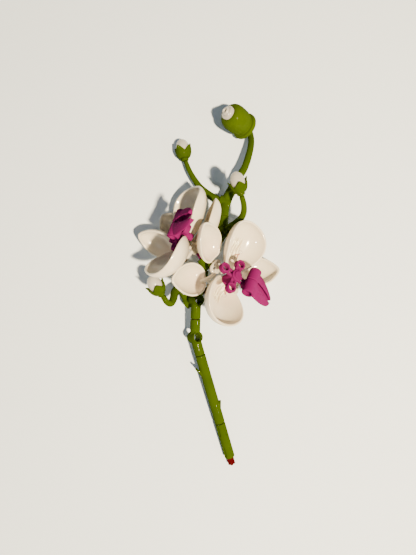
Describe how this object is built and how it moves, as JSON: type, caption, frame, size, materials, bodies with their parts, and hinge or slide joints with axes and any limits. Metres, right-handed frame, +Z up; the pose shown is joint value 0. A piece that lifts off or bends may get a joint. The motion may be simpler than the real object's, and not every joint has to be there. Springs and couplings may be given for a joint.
{
  "type": "toy moth orchid spray",
  "caption": "Building-toy moth orchid spray laid flat: jointed green stem, closed buds in cups, and open flowers with cream bowl petals and magenta lips.",
  "frame": {"origin": "middle of the spray's bounding box in X and Y, on the surface it lies on in Z", "axes": "+Y from the cut end toward the top bud, +X to the right as seen from above, +Z up, away from the surface"},
  "size_m": [0.0906, 0.233, 0.0584],
  "materials": {
    "green": "glossy lime green moulded plastic",
    "cream": "glossy cream white moulded plastic",
    "magenta": "glossy magenta moulded plastic",
    "red": "glossy dark red moulded plastic",
    "brown": "dark brown moulded plastic"
  },
  "bodies": {
    "root": {"base_axle": "red", "base_connector": "green", "fourth_bend": "green", "joint_axle_1": "brown", "joint_axle_2": "brown", "joint_axle_3": "brown", "joint_axle_4": "brown", "left_back_sepal": "cream", "left_bud_cup": "green", "left_bud_egg": "cream", "left_bud_stem": "green", "left_hub": "magenta", "left_left_sepal": "cream", "left_lip_left": "magenta", "left_lip_pin": "magenta", "left_lip_right": "magenta", "left_lower_petal": "cream", "left_mount": "cream", "left_pin": "magenta", "left_right_sepal": "cream", "left_upper_petal": "cream", "low_bud_cup": "green", "low_bud_egg": "cream", "low_bud_stem": "green", "lower_bend": "green", "lower_stem": "green", "right_bud_cup": "green", "right_bud_egg": "cream", "right_bud_stem": "green", "right_handle": "cream", "right_hub": "magenta", "right_left_sepal": "cream", "right_lip_left": "magenta", "right_lip_pin": "magenta", "right_lip_right": "magenta", "right_lower_petal": "cream", "right_mount": "cream", "right_right_sepal": "cream", "right_upper_petal": "cream", "right_upper_sepal": "cream", "second_bend": "green", "side_bend": "green", "side_pin": "brown", "third_bend": "green", "top_bud": "green", "top_bud_tip": "cream", "top_stem": "green", "upper_bend": "green"}
  },
  "joints": []
}
